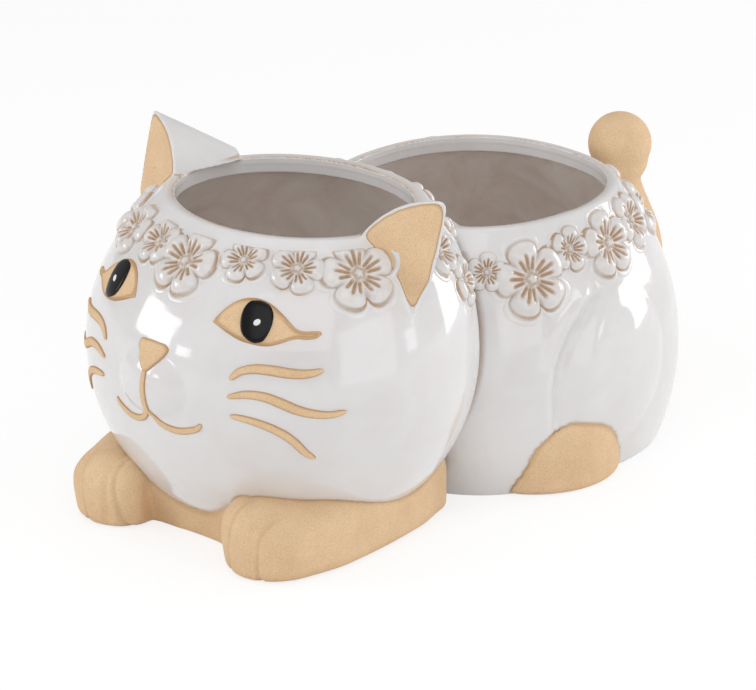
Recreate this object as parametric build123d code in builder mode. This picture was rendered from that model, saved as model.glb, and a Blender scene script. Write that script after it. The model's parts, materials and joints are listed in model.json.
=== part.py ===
"""A planter of two glazed pots that together make a sitting cat, in millimetres.

The front pot is the cat's head, a round bowl resting on its bare clay forelegs. The rear pot is the rump, a deep
bowl whose front wall is hollowed so that it nests round the back of the head. Ears, feet, tail, flowers and the
raised face are pieces of clay luted onto the two bowls. Each bowl drains through a hole with a silicone plug.

The cat faces -Y, its left side is +X, and it stands on Z = 0. The origin is on the ground, under the middle of
the whole planter.
"""

import os
from math import asin, cos, copysign, radians, sin, sqrt, tau

from build123d import *

# The two pots
wall = 5.5
floor_thickness = 6.5
nest_gap = 1.0  # the dark line between the two pots
overrun = 5.0  # how far a cutter runs past what it cuts
pot_spacing = 115.0  # from the head's upright axis back to the rump's
lip_depth = 2.8  # how far down the inside of each lip runs straight
rim_round = 2.2

# Head bowl
head_half_width = 82.0
head_half_depth = 74.0
head_widest_height = 70.0
head_crown_rise = 81.0  # from the widest level up to where the round of the head would close
head_belly_drop = 78.0  # and down to where it would close below
head_rim_height = 129.0
head_rim_setback = 8.0  # how far the opening's middle lies behind the head's axis
head_rim_flattening = 3.0  # how much shallower the opening is than a plain round of the head
head_levels = 12
muzzle_reach = 3.5  # how far the muzzle stands out of the head's front
muzzle_radius = 20.0
muzzle_half_width = 27.0
muzzle_height = 71.0

# Rump bowl
rump_half_width = 74.0
rump_half_depth = 76.0
rump_widest_height = 40.0
rump_crown_rise = 108.0
rump_belly_drop = 92.0
rump_rim_height = 110.0
rump_rim_setback = -6.0  # the opening lies ahead of the rump's axis
rump_levels = 7
rump_plan_points = 16
rump_base_squareness = 2.6  # 2 would be a plain ellipse
rump_rim_squareness = 2.2
haunch_radius = 60.0
haunch_half_height = 65.0
haunch_reach = 5.0  # how far a haunch stands out of the rump's side
haunch_height = 44.0
haunch_setback = 2.0
nest_skirt_height = 26.0  # below this level the hollow in the rump's front runs straight down
nest_edge_round = 3.0

# Ears: corners of the clay face as shares of the head's half width, half depth and rim height
ear_crown_shares = (0.634, -0.108, 1.012)
ear_tip_shares = (0.965, 0.123, 1.136)
ear_cheek_shares = (0.927, -0.061, 0.775)
ear_root_share = 0.4  # how far the ear's root reaches into the head, against its rise out of it
ear_heel_share = 0.05  # where the ear's back dies away, from its crown corner towards its root
ear_back_share = 0.55  # size of the ear's back outline against its face
ear_depth = 31.0
ear_top_bulge = 4.0
ear_side_bulge = 2.0
ear_tip_round = 3.0

# Forelegs and chest
foreleg_height = 28.0
foreleg_round = 10.0
foreleg_inner_x = 30.0
foreleg_outer_x = 67.0
foreleg_front_reach = 69.0
foreleg_back_reach = 47.0
foreleg_end_x = 52.0  # outer corner of the leg's back end
paw_radius = 19.0
foreleg_foot_round = 5.0
toe_groove_radius = 1.6
toe_groove_length = 15.0  # how far a groove runs back over the paw
toe_groove_shares = (0.27, 0.66)
chest_ground_reach = 47.0
chest_ground_bow = -3.0  # how far the chest's front stands out, or is hollowed, between the legs
chest_top_reach = 58.5
chest_top_bow = 4.0
chest_back_reach = 20.0

# Hind feet
hind_foot_radius = 32.0
hind_foot_height = 33.0
hind_foot_round = 15.0
hind_foot_edge_round = 3.0
hind_foot_x = 45.0
hind_foot_setforward = 16.0

# Tail: its middle line as shares of its reach behind the rump's axis and of its tip's height, and its swell
tail_reach = 93.0
tail_tip_height = 106.0
tail_radius = 12.2
tail_tip_radius = 13.2
tail_shares = (
    (0.69, 0.25, 1.0),
    (0.92, 0.32, 1.0),
    (1.0, 0.52, 0.98),
    (0.93, 0.73, 0.8),
    (0.87, 0.87, 0.73),
    (0.872, 0.95, 0.8),
)
tail_tip_share = 0.876

# Raised face
face_layer = 0.6
pupil_layer = 0.4
glint_layer = 0.3
nose_layer = 1.6
eye_length = 37.0
eye_height = 15.6
eye_inner_x = 18.3
eye_base_height = 94.6
eye_upper_shares = ((0.0, 0.38), (0.14, 0.68), (0.28, 0.88), (0.46, 1.0), (0.67, 0.84), (0.83, 0.42), (1.0, 0.26))
eye_lower_shares = ((1.0, 0.26), (0.83, 0.14), (0.65, 0.05), (0.48, 0.0), (0.28, 0.05), (0.13, 0.2), (0.0, 0.38))
pupil_x = 35.2
pupil_height = 102.8
pupil_half_width = 5.0
pupil_half_height = 7.3
glint_radius = 1.1
nose_half_width = 8.2
nose_height = 11.0
nose_base_height = 78.5
nose_corner_round = 2.2
mouth_stroke = 3.0
mouth_half_width = 22.0
mouth_dip = 5.5
mouth_height = 60.5
whisker_stroke = 3.6
whisker_length = 34.0
whisker_root_x = 32.0
whisker_heights = (80.0, 73.5, 66.5)
whisker_shares = (
    ((0.0, 0.0), (0.13, 0.17), (0.3, 0.22), (0.65, 0.16), (0.95, 0.21)),
    ((0.0, 0.0), (0.2, 0.1), (0.4, 0.08), (0.6, -0.02), (0.82, -0.12), (1.08, -0.13)),
    ((0.0, 0.0), (0.24, -0.03), (0.45, -0.13), (0.62, -0.27), (0.71, -0.46), (0.82, -0.52)),
)

# Flowers: each has its bearing round the bowl in degrees from the front, its middle's drop below the rim and its
# reach as shares of the largest flower's reach, and its turn in degrees
flower_reach = 14.0
flower_height = 2.6
flower_drop = 2.6  # the flowers end this far below the rim
petal_count = 5
petal_middle_share = 0.61
petal_radius_share = 0.39
button_radius_share = 0.27
button_height_share = 0.85
bearing_step = 1.0  # degrees, to find which way a bowl's outside faces
head_flower_shares = (
    (0, 0.78, 0.97, 10),
    (28, 0.5, 0.65, 40),
    (51, 0.57, 0.75, 0),
    (73, 0.72, 1.0, 25),
    (111, 0.75, 0.75, 15),
    (119, 1.75, 0.7, 50),
    (136, 0.6, 0.55, 30),
    (158, 0.58, 0.6, 0),
    (180, 0.58, 0.55, 45),
    (-158, 0.58, 0.6, 20),
    (-136, 0.6, 0.55, 60),
    (-119, 1.75, 0.7, 35),
    (-111, 0.75, 0.75, 5),
    (-71, 0.85, 0.85, 50),
    (-46, 0.75, 0.85, 15),
    (-22, 0.62, 0.72, 30),
)
rump_flower_shares = (
    (45, 1.03, 0.55, 10),
    (60, 1.3, 1.05, 30),
    (77, 0.8, 0.62, 0),
    (96, 0.95, 0.93, 20),
    (116, 0.75, 0.8, 50),
    (136, 0.9, 0.85, 10),
    (158, 0.75, 0.75, 35),
    (180, 0.8, 0.7, 0),
    (-158, 0.75, 0.75, 5),
    (-136, 0.9, 0.85, 40),
    (-116, 0.75, 0.8, 20),
    (-96, 0.95, 0.93, 60),
    (-77, 0.8, 0.62, 15),
    (-60, 1.3, 1.05, 40),
    (-45, 1.03, 0.55, 35),
)

# Drain holes and plugs
drain_hole_radius = 6.0
drain_recess_radius = 11.0
drain_recess_depth = 3.0
plug_clearance = 0.3
plug_flange_radius = 9.5
plug_flange_thickness = 2.0
plug_stem_length = 5.5
plug_stem_chamfer = 0.8
plug_grip_radius = 3.0
plug_grip_height = 3.0

# Where the two pots stand, so that the origin is under the middle of the planter
front_reach = head_half_depth + muzzle_reach
back_reach = pot_spacing + tail_reach + tail_radius
head_y = (front_reach - back_reach) / 2
rump_y = head_y + pot_spacing

os.makedirs("parts", exist_ok=True)


def keep(part, name):
    """Label a finished piece and write it out under its name."""
    part.label = name
    export_step(part, f"parts/{name}.step")


def levels(low, high, middle, rise, drop, count):
    """Heights from low to high, spaced evenly round the bowl's profile."""
    start = -asin((middle - low) / drop)
    end = asin((high - middle) / rise)
    turns = [start + (end - start) * step / (count - 1) for step in range(count)]
    return [middle + (rise if turn > 0 else drop) * sin(turn) for turn in turns]


def head_section(height, growth):
    """Half width, half depth and middle of the head at a height, with its outside grown or drawn in."""
    above = max(height - head_widest_height, 0)
    reach = (head_crown_rise if above else head_belly_drop) + growth
    round_share = sqrt(1 - ((height - head_widest_height) / reach) ** 2)
    lean_share = (above / (head_rim_height - head_widest_height)) ** 2
    half_width = (head_half_width + growth) * round_share
    half_depth = (head_half_depth + growth) * round_share - head_rim_flattening * lean_share
    return half_width, half_depth, head_y + head_rim_setback * lean_share


def head_form(growth, low, high):
    """The head's round form between two heights, without its muzzle."""
    heights = levels(
        low, high, head_widest_height, head_crown_rise + growth, head_belly_drop + growth, head_levels
    )
    with BuildPart() as form:
        for height in heights:
            half_width, half_depth, middle_y = head_section(height, growth)
            with BuildSketch(Plane((0, middle_y, height))):
                Ellipse(half_width, half_depth)
        loft()
    return form.part


def head_outside(growth):
    """The head's outside with its muzzle, as one solid."""
    muzzle_y = head_y - head_half_depth - muzzle_reach + muzzle_radius
    muzzle_middle = (0, muzzle_y, muzzle_height)
    with BuildPart() as outside:
        add(head_form(growth, 0, head_rim_height))
        with BuildSketch(Plane(muzzle_middle)):
            with BuildLine():
                EllipticalCenterArc((0, 0), muzzle_half_width + growth, muzzle_radius + growth, arc_size=180)
                Line((-muzzle_half_width - growth, 0), (muzzle_half_width + growth, 0))
            make_face()
        revolve(axis=Axis(muzzle_middle, (1, 0, 0)))
    return outside.part


def rump_section(height, growth):
    """Half width, half depth, middle and squareness of the rump at a height."""
    above = max(height - rump_widest_height, 0)
    reach = (rump_crown_rise if above else rump_belly_drop) + growth
    round_share = sqrt(1 - ((height - rump_widest_height) / reach) ** 2)
    lean_share = (above / (rump_rim_height - rump_widest_height)) ** 2
    half_width = (rump_half_width + growth) * round_share
    half_depth = (rump_half_depth + growth) * round_share
    power = rump_base_squareness + (rump_rim_squareness - rump_base_squareness) * lean_share
    return half_width, half_depth, rump_y + rump_rim_setback * lean_share, power


def rump_form(growth, low, high):
    """The rump's form between two heights: round sections that are a little squared."""
    heights = levels(
        low, high, rump_widest_height, rump_crown_rise + growth, rump_belly_drop + growth, rump_levels
    )
    with BuildPart() as form:
        for height in heights:
            half_width, half_depth, middle_y, power = rump_section(height, growth)
            outline = []
            for step in range(rump_plan_points):
                across = cos(tau * step / rump_plan_points)
                along = sin(tau * step / rump_plan_points)
                outline.append(
                    (
                        copysign(half_width * abs(across) ** (2 / power), across),
                        copysign(half_depth * abs(along) ** (2 / power), along),
                    )
                )
            with BuildSketch(Plane((0, middle_y, height))):
                with BuildLine():
                    Spline(outline, periodic=True)
                make_face()
        loft()
    return form.part


def rump_outside(growth):
    """The rump's outside with its haunches, as one solid standing on the ground."""
    haunch_x = rump_half_width + haunch_reach - haunch_radius
    with BuildPart() as outside:
        add(rump_form(growth, 0, rump_rim_height))
        for side in (-1, 1):
            middle = (side * haunch_x, rump_y + haunch_setback, haunch_height)
            with BuildSketch(Plane(middle, x_dir=(0, 0, 1), z_dir=(0, 1, 0))):
                with BuildLine():
                    EllipticalCenterArc((0, 0), haunch_half_height + growth, haunch_radius + growth, arc_size=180)
                    Line((-haunch_half_height - growth, 0), (haunch_half_height + growth, 0))
                make_face()
            revolve(axis=Axis(middle, (0, 0, 1)))
        split(bisect_by=Plane.XY, keep=Keep.TOP)
    return outside.part


def nest_hollow(growth):
    """What the head takes out of the rump's front: its form, run straight down below the skirt's level."""
    half_width, half_depth, middle_y = head_section(nest_skirt_height, growth)
    with BuildPart() as hollow:
        add(head_form(growth, nest_skirt_height, head_rim_height))
        with BuildSketch(Plane((0, middle_y, -overrun))):
            Ellipse(half_width, half_depth)
        extrude(amount=nest_skirt_height + overrun)
    return hollow.part


def drained(pot_y):
    """Cut the drain hole and the shallow recess under it, in the bowl being built."""
    with Locations((0, pot_y, 0)):
        Cylinder(
            drain_recess_radius,
            drain_recess_depth,
            align=(Align.CENTER, Align.CENTER, Align.MIN),
            mode=Mode.SUBTRACT,
        )
        Cylinder(drain_hole_radius, 2 * floor_thickness, mode=Mode.SUBTRACT)


# Head bowl: the head hollowed out, with a rounded lip
with BuildPart() as head_block:
    add(head_outside(0))
    fillet(head_block.faces().sort_by(Axis.Z)[-1].edges(), rim_round)
with BuildPart() as head_cavity:
    add(head_form(-wall, floor_thickness, head_rim_height - lip_depth))
    extrude(head_cavity.faces().sort_by(Axis.Z)[-1], amount=lip_depth + overrun)
with BuildPart() as head_bowl:
    add(head_block.part)
    add(head_cavity.part, mode=Mode.SUBTRACT)
    fillet(head_bowl.faces().filter_by(Plane.XY).sort_by(Axis.Z)[-1].inner_wires()[0].edges(), rim_round)
    drained(head_y)
keep(head_bowl.part, "head_bowl")

# Rump bowl: hollowed in front for the head and inside for the plant
with BuildPart() as rump_block:
    add(rump_outside(0))
    add(nest_hollow(nest_gap), mode=Mode.SUBTRACT)
    upright = rump_block.edges().filter_by(lambda edge: edge.bounding_box().size.Z > nest_skirt_height - wall)
    fillet(upright.sort_by(Axis.Y)[:4], nest_edge_round)
with BuildPart() as rump_cavity:
    add(rump_form(-wall, floor_thickness, rump_rim_height - lip_depth))
    extrude(rump_cavity.faces().sort_by(Axis.Z)[-1], amount=lip_depth + overrun)
    add(nest_hollow(nest_gap + wall), mode=Mode.SUBTRACT)
with BuildPart() as rump_bowl:
    add(rump_block.part)
    add(rump_cavity.part, mode=Mode.SUBTRACT)
    fillet(rump_bowl.faces().filter_by(Plane.XY).sort_by(Axis.Z)[-1].edges(), rim_round)
    drained(rump_y)
keep(rump_bowl.part, "rump_bowl")


def ear_corner(shares):
    """One corner of the left ear's clay face."""
    across, along, up = shares
    return Vector(head_half_width * across, head_y + head_half_depth * along, head_rim_height * up)


# Ears: a flat clay face, and a back that shrinks from its outline down to the rim
crown, tip, cheek = (ear_corner(shares) for shares in (ear_crown_shares, ear_tip_shares, ear_cheek_shares))
ear_face = Plane(origin=cheek, x_dir=crown - cheek, z_dir=(tip - cheek).cross(crown - cheek))
crown, tip, cheek = (ear_face.to_local_coords(corner) for corner in (crown, tip, cheek))
root = (crown + cheek) / 2 + ((crown + cheek) / 2 - tip) * ear_root_share
heel = crown + (root - crown) * ear_heel_share
top_middle = (crown + tip) / 2 - (crown - tip).rotate(Axis.Z, 90).normalized() * ear_top_bulge
side_middle = (tip + cheek) / 2 - (tip - cheek).rotate(Axis.Z, 90).normalized() * ear_side_bulge
with BuildPart() as left_ear:
    for back, size_share in ((0, 1), (ear_depth, ear_back_share)):
        corners = (crown, top_middle, tip, side_middle, cheek, root)
        outline = [heel + (corner - heel) * size_share for corner in corners]
        with BuildSketch(ear_face.offset(-back)):
            with BuildLine():
                ThreePointArc(*outline[:3])
                ThreePointArc(*outline[2:5])
                Polyline(outline[4], outline[5], outline[0])
            outer = make_face()
            fillet(outer.vertices().sort_by_distance(outline[2])[0], ear_tip_round * size_share)
    loft()
    add(head_block.part, mode=Mode.SUBTRACT)
with BuildPart() as right_ear:
    mirror(left_ear.part, about=Plane.YZ)
keep(left_ear.part, "left_ear")
keep(right_ear.part, "right_ear")

# Forelegs: a rounded top, and grooves that run up the paw's front and over it between three toes
with BuildPart() as left_foreleg:
    paw_x = foreleg_outer_x - paw_radius
    paw_y = paw_radius - foreleg_front_reach
    inner_front = (foreleg_inner_x, paw_y - sqrt(paw_radius**2 - (paw_x - foreleg_inner_x) ** 2))
    outer_front = (foreleg_outer_x, paw_y)
    back = (foreleg_end_x, foreleg_back_reach)
    with BuildSketch(Plane((0, head_y, 0))):
        with BuildLine():
            ThreePointArc(inner_front, (paw_x, -foreleg_front_reach), outer_front)
            TangentArc(outer_front, back, tangent=(0, 1))
            Polyline(back, (foreleg_inner_x, foreleg_back_reach), inner_front)
        make_face()
    extrude(amount=foreleg_height)
    for face, edge_round in ((-1, foreleg_round), (0, foreleg_foot_round)):
        fillet(left_foreleg.faces().sort_by(Axis.Z)[face].edges().filter_by(GeomType.LINE, reverse=True), edge_round)
    for across in toe_groove_shares:
        groove_x = foreleg_inner_x + (foreleg_outer_x - foreleg_inner_x) * across
        groove_y = head_y + paw_y - sqrt(paw_radius**2 - (groove_x - paw_x) ** 2)
        with BuildLine(Plane((groove_x, groove_y, 0), x_dir=(0, 1, 0), z_dir=(1, 0, 0))) as groove:
            Line((0, -overrun), (0, foreleg_height - foreleg_round))
            JernArc((0, foreleg_height - foreleg_round), (0, 1), foreleg_round, -90)
            Line((foreleg_round, foreleg_height), (toe_groove_length, foreleg_height))
        with BuildSketch(Plane((groove_x, groove_y, -overrun))):
            Circle(toe_groove_radius)
        sweep(path=groove.line, mode=Mode.SUBTRACT)
    add(head_block.part, mode=Mode.SUBTRACT)
with BuildPart() as right_foreleg:
    mirror(left_foreleg.part, about=Plane.YZ)
keep(left_foreleg.part, "left_foreleg")
keep(right_foreleg.part, "right_foreleg")

# Chest: the clay between the forelegs, hollowed at the ground and leaning out under the chin
with BuildPart() as chest:
    for height, reach, bow in (
        (0, chest_ground_reach, chest_ground_bow),
        (foreleg_height, chest_top_reach, chest_top_bow),
    ):
        with BuildSketch(Plane((0, head_y, height))):
            with BuildLine():
                left_corner = (foreleg_inner_x, -reach)
                right_corner = (-foreleg_inner_x, -reach)
                ThreePointArc(left_corner, (0, -reach - bow), right_corner)
                Polyline(
                    right_corner,
                    (-foreleg_inner_x, -chest_back_reach),
                    (foreleg_inner_x, -chest_back_reach),
                    left_corner,
                )
            make_face()
    loft(ruled=True)
    add(head_block.part, mode=Mode.SUBTRACT)
keep(chest.part, "chest")

# Hind feet: round-topped pads of clay, each cut to its own haunch
for side, name in ((1, "left_hind_foot"), (-1, "right_hind_foot")):
    with BuildPart() as hind_foot:
        with BuildSketch(Plane((side * hind_foot_x, rump_y - hind_foot_setforward, 0))):
            Circle(hind_foot_radius)
        extrude(amount=hind_foot_height)
        fillet(hind_foot.faces().sort_by(Axis.Z)[-1].edges(), hind_foot_round)
        fillet(hind_foot.faces().sort_by(Axis.Z)[0].edges(), hind_foot_edge_round)
        add(rump_block.part, mode=Mode.SUBTRACT)
        add(nest_hollow(nest_gap), mode=Mode.SUBTRACT)
    keep(hind_foot.part, name)

# Tail: swelling rings along its middle line, closed by a round tip
tail_line = [Vector(0, rump_y + tail_reach * back, tail_tip_height * up) for back, up, _ in tail_shares]
with BuildPart() as tail:
    for step, middle in enumerate(tail_line):
        before = tail_line[max(step - 1, 0)]
        after = tail_line[min(step + 1, len(tail_line) - 1)]
        with BuildSketch(Plane(middle, x_dir=(1, 0, 0), z_dir=after - before)):
            Circle(tail_radius * tail_shares[step][2])
    loft()
    with Locations((0, rump_y + tail_reach * tail_tip_share, tail_tip_height)):
        Sphere(tail_tip_radius)
    add(rump_block.part, mode=Mode.SUBTRACT)
keep(tail.part, "tail")


def stroke(points, width):
    """Draw a stroke that swells from a point and tapers to a point again."""
    upper = [points[0]]
    lower = [points[0]]
    for step in range(1, len(points) - 1):
        along = (Vector(*points[step + 1]) - Vector(*points[step - 1])).normalized()
        across = along.rotate(Axis.Z, 90) * width / 2 * sqrt(sin(step / (len(points) - 1) * tau / 2))
        upper.append(Vector(*points[step]) + across)
        lower.append(Vector(*points[step]) - across)
    Spline(*upper, points[-1])
    Spline(*lower, points[-1])


face_plane = Plane((0, head_y, 0), x_dir=(1, 0, 0), z_dir=(0, -1, 0))
face_reach = head_half_depth + muzzle_reach + overrun
eye_top = head_outside(face_layer)
pupil_top = head_outside(face_layer + pupil_layer)
glint_top = head_outside(face_layer + pupil_layer + glint_layer)
nose_top = head_outside(nose_layer)

# Eyes: a clay almond, the dark pupil on it and a small white glint on that
with BuildPart() as left_eye:
    with BuildSketch(face_plane):
        with BuildLine():
            for shares in (eye_upper_shares, eye_lower_shares):
                Spline(*[(eye_inner_x + eye_length * x, eye_base_height + eye_height * y) for x, y in shares])
        make_face()
    extrude(amount=face_reach)
    add(eye_top, mode=Mode.INTERSECT)
    add(head_block.part, mode=Mode.SUBTRACT)
with BuildPart() as left_pupil:
    with BuildSketch(face_plane):
        with Locations((pupil_x, pupil_height)):
            Ellipse(pupil_half_width, pupil_half_height)
    extrude(amount=face_reach)
    add(pupil_top, mode=Mode.INTERSECT)
    add(eye_top, mode=Mode.SUBTRACT)
with BuildPart() as left_glint:
    with BuildSketch(face_plane):
        with Locations((pupil_x, pupil_height)):
            Circle(glint_radius)
    extrude(amount=face_reach)
    add(glint_top, mode=Mode.INTERSECT)
    add(pupil_top, mode=Mode.SUBTRACT)

# Whiskers: three strokes on each cheek
with BuildPart() as left_whiskers:
    with BuildSketch(face_plane):
        for root_height, shares in zip(whisker_heights, whisker_shares):
            points = [(whisker_root_x + whisker_length * x, root_height + whisker_length * y) for x, y in shares]
            with BuildLine():
                stroke(points, whisker_stroke)
            make_face()
    extrude(amount=face_reach)
    add(eye_top, mode=Mode.INTERSECT)
    add(head_block.part, mode=Mode.SUBTRACT)

# Nose and mouth
with BuildPart() as nose:
    with BuildSketch(face_plane):
        outline = Polygon(
            (-nose_half_width, nose_base_height + nose_height),
            (nose_half_width, nose_base_height + nose_height),
            (0, nose_base_height),
            align=None,
        )
        fillet(outline.vertices(), nose_corner_round)
    extrude(amount=face_reach)
    add(nose_top, mode=Mode.INTERSECT)
    add(head_block.part, mode=Mode.SUBTRACT)
with BuildPart() as mouth:
    with BuildSketch(face_plane):
        with BuildLine():
            Line((0, nose_base_height + nose_height / 2), (0, mouth_height))
        trace(line_width=mouth_stroke)
        for side in (-1, 1):
            with BuildLine():
                Spline(
                    (0, mouth_height + mouth_stroke / 2),
                    (side * mouth_half_width / 2, mouth_height - mouth_dip),
                    (side * mouth_half_width, mouth_height),
                )
            trace(line_width=mouth_stroke)
    extrude(amount=face_reach)
    add(eye_top, mode=Mode.INTERSECT)
    add(head_block.part, mode=Mode.SUBTRACT)
    add(nose.part, mode=Mode.SUBTRACT)
for piece, name in ((left_eye, "eye"), (left_pupil, "pupil"), (left_glint, "glint"), (left_whiskers, "whiskers")):
    with BuildPart() as other_side:
        mirror(piece.part, about=Plane.YZ)
    keep(piece.part, f"left_{name}")
    keep(other_side.part, f"right_{name}")
keep(nose.part, "nose")
keep(mouth.part, "mouth")


def bowl_point(section, bearing, height):
    """The point on a bowl's outside at a bearing from the front and a height."""
    half_width, half_depth, middle_y, power = section(height)
    across = sin(radians(bearing))
    along = -cos(radians(bearing))
    reach = (abs(across / half_width) ** power + abs(along / half_depth) ** power) ** (-1 / power)
    return Vector(reach * across, middle_y + reach * along, height)


def bowl_plane(section, bearing, height):
    """The plane that lies on a bowl's outside there, its normal pointing out."""
    middle = bowl_point(section, bearing, height)
    around = bowl_point(section, bearing + bearing_step, height) - middle
    up = middle - bowl_point(section, bearing, height - around.length)
    return Plane(origin=middle, x_dir=around, z_dir=around.cross(up))


def dome(plane, radius, height):
    """The place and radius of a ball that stands out of a plane as a dome."""
    ball_radius = (radius**2 + height**2) / (2 * height)
    return plane.offset(height - ball_radius), ball_radius


def wreath(section, rim_height, flower_shares, cutters):
    """A ring of five-petalled flowers round a bowl: domed petals round a button, cut to the bowl's round."""
    with BuildPart() as flowers:
        for bearing, drop, size, turn in flower_shares:
            reach = flower_reach * size
            height = flower_height * size
            plane = bowl_plane(section, bearing, rim_height - flower_reach * drop)
            petal_place, petal_ball = dome(plane, reach * petal_radius_share, height)
            with Locations(petal_place):
                with PolarLocations(reach * petal_middle_share, petal_count, start_angle=turn):
                    Sphere(petal_ball)
            button_place, button_ball = dome(plane, reach * button_radius_share, height * button_height_share)
            with Locations(button_place):
                Sphere(button_ball)
        split(bisect_by=Plane.XY.offset(rim_height - flower_drop), keep=Keep.BOTTOM)
        for cutter in cutters:
            add(cutter, mode=Mode.SUBTRACT)
    return flowers.part


def head_outline(height):
    """The head's section as round as it is."""
    return *head_section(height, 0), 2


def rump_outline(height):
    """The rump's section with its squareness."""
    return rump_section(height, 0)


head_cutters = (head_block.part, left_ear.part, right_ear.part)
keep(wreath(head_outline, head_rim_height, head_flower_shares, head_cutters), "head_wreath")
rump_cutters = (rump_block.part, nest_hollow(nest_gap))
keep(wreath(rump_outline, rump_rim_height, rump_flower_shares, rump_cutters), "rump_wreath")


def plug(pot_y):
    """A silicone plug: a flange on the pot's floor and a stem down through its drain hole."""
    seat = Plane((0, pot_y, floor_thickness + plug_clearance))
    with BuildPart(seat) as stopper:
        Cylinder(plug_flange_radius, plug_flange_thickness, align=(Align.CENTER, Align.CENTER, Align.MIN))
        Cylinder(
            drain_hole_radius - plug_clearance,
            plug_stem_length,
            align=(Align.CENTER, Align.CENTER, Align.MAX),
        )
        Cylinder(
            plug_grip_radius,
            plug_flange_thickness + plug_grip_height,
            align=(Align.CENTER, Align.CENTER, Align.MIN),
        )
        chamfer(stopper.faces().sort_by(Axis.Z)[0].edges(), plug_stem_chamfer)
    return stopper.part


keep(plug(head_y), "front_drain_plug")
keep(plug(rump_y), "rear_drain_plug")
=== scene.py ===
"""Looks of the cat planter: glazed bowls with their flowers, bare clay, the raised face, camera and light."""

import json
from math import cos, pi, radians, sin, sqrt

import bmesh
import bpy
import numpy as np
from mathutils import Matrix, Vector
from mathutils.bvhtree import BVHTree


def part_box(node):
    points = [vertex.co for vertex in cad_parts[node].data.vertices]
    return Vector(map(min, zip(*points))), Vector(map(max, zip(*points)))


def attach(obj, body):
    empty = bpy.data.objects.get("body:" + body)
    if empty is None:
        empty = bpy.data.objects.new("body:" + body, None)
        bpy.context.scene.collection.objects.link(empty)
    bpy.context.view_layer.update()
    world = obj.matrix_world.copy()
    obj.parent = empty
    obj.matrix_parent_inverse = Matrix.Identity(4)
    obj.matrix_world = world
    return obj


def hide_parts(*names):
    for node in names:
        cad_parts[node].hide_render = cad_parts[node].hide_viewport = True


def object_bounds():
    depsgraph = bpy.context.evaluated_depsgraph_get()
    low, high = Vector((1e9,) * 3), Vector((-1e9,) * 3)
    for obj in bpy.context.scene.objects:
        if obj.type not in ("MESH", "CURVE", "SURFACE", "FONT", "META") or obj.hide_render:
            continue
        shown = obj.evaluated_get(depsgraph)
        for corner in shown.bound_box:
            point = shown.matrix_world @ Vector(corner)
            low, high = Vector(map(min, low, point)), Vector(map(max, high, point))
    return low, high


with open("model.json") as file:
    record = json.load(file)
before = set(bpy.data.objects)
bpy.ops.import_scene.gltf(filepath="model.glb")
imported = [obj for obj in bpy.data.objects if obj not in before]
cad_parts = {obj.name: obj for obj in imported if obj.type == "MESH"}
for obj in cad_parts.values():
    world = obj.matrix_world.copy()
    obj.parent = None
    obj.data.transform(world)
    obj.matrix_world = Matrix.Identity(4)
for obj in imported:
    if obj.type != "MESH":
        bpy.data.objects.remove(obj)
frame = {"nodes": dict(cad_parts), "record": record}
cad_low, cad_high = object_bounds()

MM = 0.001
nodes = frame["nodes"]

# The two pots' upright axes and rims, from the frame
head_low, head_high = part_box("head_bowl")
rump_low, rump_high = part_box("rump_bowl")
head_half_width = head_high.x
head_half_depth = 74 * MM
nest_distance = 115 * MM
head_axis = Vector((0, head_high.y - head_half_depth, 0))
rump_axis = Vector((0, head_axis.y + nest_distance, 0))
head_rim = head_high.z
rump_rim = rump_high.z

# Flowers: bearing round the bowl from the front, drop below the rim and reach, both as shares of the largest
# reach, and the turn of the first petal
flower_reach = 15 * MM
head_flowers = (
    (0, 0.78, 0.97, 10),
    (28, 0.5, 0.65, 40),
    (51, 0.57, 0.75, 0),
    (73, 0.72, 1.0, 25),
    (111, 0.75, 0.75, 15),
    (119, 1.75, 0.7, 50),
    (136, 0.6, 0.55, 30),
    (158, 0.58, 0.6, 0),
    (180, 0.58, 0.55, 45),
    (-158, 0.58, 0.6, 20),
    (-136, 0.6, 0.55, 60),
    (-119, 1.75, 0.7, 35),
    (-111, 0.75, 0.75, 5),
    (-71, 0.85, 0.85, 50),
    (-46, 0.75, 0.85, 15),
    (-22, 0.62, 0.72, 30),
)
rump_flowers = (
    (45, 1.03, 0.55, 10),
    (60, 1.3, 1.05, 30),
    (77, 0.8, 0.62, 0),
    (96, 0.95, 0.93, 20),
    (116, 0.75, 0.8, 50),
    (136, 0.9, 0.85, 10),
    (158, 0.75, 0.75, 35),
    (180, 0.8, 0.7, 0),
    (-158, 0.75, 0.75, 5),
    (-136, 0.9, 0.85, 40),
    (-116, 0.75, 0.8, 20),
    (-96, 0.95, 0.93, 60),
    (-77, 0.8, 0.62, 15),
    (-60, 1.3, 1.05, 40),
    (-45, 1.03, 0.55, 35),
)

# Raised face, in the plane seen from the front: x across and z up. As in the photo, the eyes and whiskers sit a
# little to the cat's left
face_lean = 3.0 * MM
eye_length = 37.2 * MM
eye_height = 16.0 * MM
eye_inner_x = 20.6 * MM
eye_base = 94.5 * MM
eye_upper = (
    (0.0, 0.39), (0.04, 0.58), (0.11, 0.81), (0.2, 0.95), (0.29, 1.0), (0.38, 0.99), (0.5, 0.9), (0.62, 0.73),
    (0.715, 0.56), (0.79, 0.42), (0.86, 0.36), (0.93, 0.36), (0.98, 0.35), (1.0, 0.29),
)
eye_lower = (
    (0.0, 0.39), (0.08, 0.32), (0.2, 0.2), (0.34, 0.08), (0.47, 0.02), (0.6, 0.0), (0.69, 0.055),
    (0.78, 0.155), (0.835, 0.19), (0.9, 0.175), (0.975, 0.2), (1.0, 0.29),
)
pupil_middle = (36.3 * MM, 102.5 * MM)
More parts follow.
